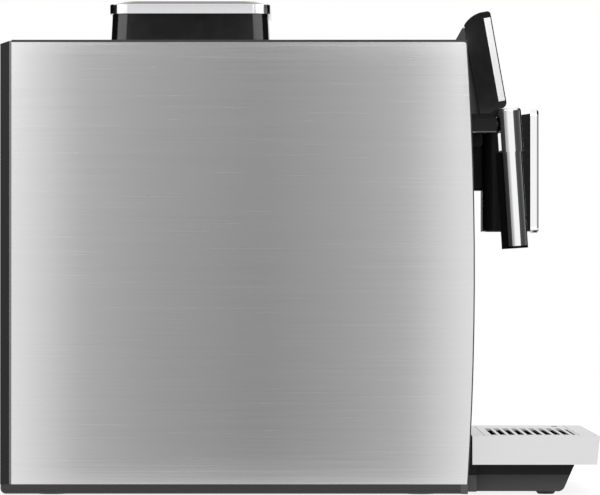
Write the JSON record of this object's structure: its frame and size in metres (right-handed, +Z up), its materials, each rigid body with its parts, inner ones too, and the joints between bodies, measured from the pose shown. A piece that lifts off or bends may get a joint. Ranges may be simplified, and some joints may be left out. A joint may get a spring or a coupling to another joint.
{
  "type": "bean to cup coffee machine",
  "caption": "Countertop bean to cup coffee machine with steel sides, tilted display, height-adjustable spout, steam wand, lift-out water tank, pull-out drip tray and grounds drawer.",
  "frame": {"origin": "on the table, under the middle of the machine with its drip tray", "axes": "+X to the right seen from the front, +Y to the back, +Z up; the front with the display, spout and tray faces -Y"},
  "size_m": [0.3, 0.456, 0.381],
  "materials": {
    "brushed_steel": "horizontally brushed stainless steel",
    "chrome": "polished chrome",
    "silver_bezel": "satin silver",
    "black_glass": "dark glossy front glass",
    "screen": "dark display panel",
    "gloss_black_plastic": "glossy black moulding",
    "matt_black_plastic": "fine-grained black moulding",
    "float_plastic": "dark float",
    "clear_plastic": "smoky clear moulding",
    "rubber": "soft black rubber",
    "zinc_sheet": "zinc-plated sheet",
    "steel": "machined steel",
    "cast_aluminium": "die-cast",
    "motor_can": "plated steel can",
    "gear_plastic": "acetal"
  },
  "bodies": {
    "root": {"base_pan": "matt_black_plastic", "bean_hopper": "gloss_black_plastic", "brew_frame": "gear_plastic", "brew_motor": "motor_can", "coffee_heater": "cast_aluminium", "cover_screws": "zinc_sheet", "display_bezel": "silver_bezel", "display_glass": "black_glass", "display_housing": "gloss_black_plastic", "display_screen": "screen", "feet": "rubber", "front_base": "matt_black_plastic", "front_fascia": "matt_black_plastic", "grinder_housing": "matt_black_plastic", "grinder_motor": "motor_can", "inner_frame": "zinc_sheet", "left_side_panel": "brushed_steel", "mains_inlet": "matt_black_plastic", "powder_chute": "matt_black_plastic", "rear_cover": "matt_black_plastic", "right_side_panel": "brushed_steel", "spout_guide_rods": "steel", "steam_heater": "cast_aluminium", "steam_pipe": "steel", "tank_seat": "matt_black_plastic", "top_cover": "matt_black_plastic", "upper_burr": "steel", "wand_arm": "matt_black_plastic", "water_hoses": "rubber", "water_pump": "motor_can"},
    "lid": {"hopper_lid": "gloss_black_plastic", "hopper_lid_ring": "chrome"},
    "dial": {"grind_dial": "matt_black_plastic"},
    "powder_flap": {"powder_lid": "matt_black_plastic"},
    "tank": {"water_tank": "clear_plastic"},
    "tank_flap": {"tank_lid": "matt_black_plastic"},
    "spout": {"spout_carriage": "matt_black_plastic", "spout_shell": "gloss_black_plastic", "spout_plate": "chrome", "spout_nozzles": "matt_black_plastic"},
    "wand": {"wand_cap": "chrome", "wand_tube": "chrome", "wand_spine": "gloss_black_plastic"},
    "tray": {"drip_tray": "matt_black_plastic", "tray_cover": "brushed_steel"},
    "grid": {"drip_grid": "brushed_steel"},
    "float": {"tray_float": "float_plastic"},
    "drawer": {"drawer_front": "matt_black_plastic", "grounds_bin": "matt_black_plastic"},
    "left_upper": {"left_upper_key": "matt_black_plastic"},
    "left_lower": {"left_lower_key": "matt_black_plastic"},
    "right_upper": {"right_upper_key": "matt_black_plastic"},
    "right_lower": {"right_lower_key": "matt_black_plastic"},
    "power": {"power_key": "matt_black_plastic"},
    "rocker": {"rocker_switch": "matt_black_plastic"},
    "burr": {"lower_burr": "steel", "drive_gear": "gear_plastic"},
    "pinion": {"motor_pinion": "gear_plastic"},
    "screw": {"brew_screw": "steel"},
    "piston": {"brew_piston": "gear_plastic"}
  },
  "joints": [
    {"name": "hopper_lid_lift", "type": "slide", "parent": "root", "child": "lid", "axis": [0, 0, 1], "range_m": [0, 0.08]},
    {"name": "grind_dial_turn", "type": "hinge", "parent": "root", "child": "dial", "pos_m": [0.082, 0.052, 0.34], "axis": [0, 0, 1], "range_deg": [-120, 120]},
    {"name": "powder_lid_hinge", "type": "hinge", "parent": "root", "child": "powder_flap", "pos_m": [0, -0.00205, 0.34455], "axis": [-1, 0, 0], "range_deg": [0, 95]},
    {"name": "water_tank_lift", "type": "slide", "parent": "root", "child": "tank", "axis": [0, 0, 1], "range_m": [0, 0.29]},
    {"name": "tank_lid_hinge", "type": "hinge", "parent": "tank", "child": "tank_flap", "pos_m": [0, 0.21275, 0.34455], "axis": [-1, 0, 0], "range_deg": [0, 98]},
    {"name": "spout_height", "type": "slide", "parent": "root", "child": "spout", "axis": [0, 0, -1], "range_m": [0, 0.085]},
    {"name": "wand_swing", "type": "hinge", "parent": "root", "child": "wand", "pos_m": [-0.117, -0.15, 0.283], "axis": [0, 1, 0], "range_deg": [-15, 45]},
    {"name": "drip_tray_slide", "type": "slide", "parent": "root", "child": "tray", "axis": [0, -1, 0], "range_m": [0, 0.15]},
    {"name": "drip_grid_lift", "type": "slide", "parent": "tray", "child": "grid", "axis": [0, 0, 1], "range_m": [0, 0.05]},
    {"name": "float_rise", "type": "slide", "parent": "tray", "child": "float", "axis": [0, 0, 1], "range_m": [0, 0.006]},
    {"name": "grounds_drawer_slide", "type": "slide", "parent": "root", "child": "drawer", "axis": [0, -1, 0], "range_m": [0, 0.095]},
    {"name": "left_upper_press", "type": "slide", "parent": "root", "child": "left_upper", "axis": [0, 0.9842, -0.1771], "range_m": [0, 0.0012], "stiffness_N_per_m": 400},
    {"name": "left_lower_press", "type": "slide", "parent": "root", "child": "left_lower", "axis": [0, 0.9842, -0.1771], "range_m": [0, 0.0012], "stiffness_N_per_m": 400},
    {"name": "right_upper_press", "type": "slide", "parent": "root", "child": "right_upper", "axis": [0, 0.9842, -0.1771], "range_m": [0, 0.0012], "stiffness_N_per_m": 400},
    {"name": "right_lower_press", "type": "slide", "parent": "root", "child": "right_lower", "axis": [0, 0.9842, -0.1771], "range_m": [0, 0.0012], "stiffness_N_per_m": 400},
    {"name": "power_press", "type": "slide", "parent": "root", "child": "power", "axis": [0, 0.9842, -0.1771], "range_m": [0, 0.0012], "stiffness_N_per_m": 400},
    {"name": "mains_switch_rock", "type": "hinge", "parent": "root", "child": "rocker", "pos_m": [-0.106, 0.2216, 0.026], "axis": [-1, 0, 0], "range_deg": [0, 12]},
    {"name": "burr_spin", "type": "hinge", "parent": "root", "child": "burr", "pos_m": [0, 0.086, 0.2435], "axis": [0, 0, 1], "continuous": true},
    {"name": "pinion_spin", "type": "hinge", "parent": "root", "child": "pinion", "pos_m": [0, 0.05, 0.2435], "axis": [0, 0, 1], "continuous": true},
    {"name": "brew_screw_spin", "type": "hinge", "parent": "root", "child": "screw", "pos_m": [0.038, -0.02, 0.18], "axis": [0, 0, 1], "range_deg": [0, 1621]},
    {"name": "piston_lift", "type": "slide", "parent": "root", "child": "piston", "axis": [0, 0, 1], "range_m": [0, 0.036]}
  ],
  "couplings": [
    {"joint": "pinion_spin", "follows": "burr_spin", "ratio": -3},
    {"joint": "brew_screw_spin", "follows": "piston_lift", "rad_per_m": 785.4}
  ]
}
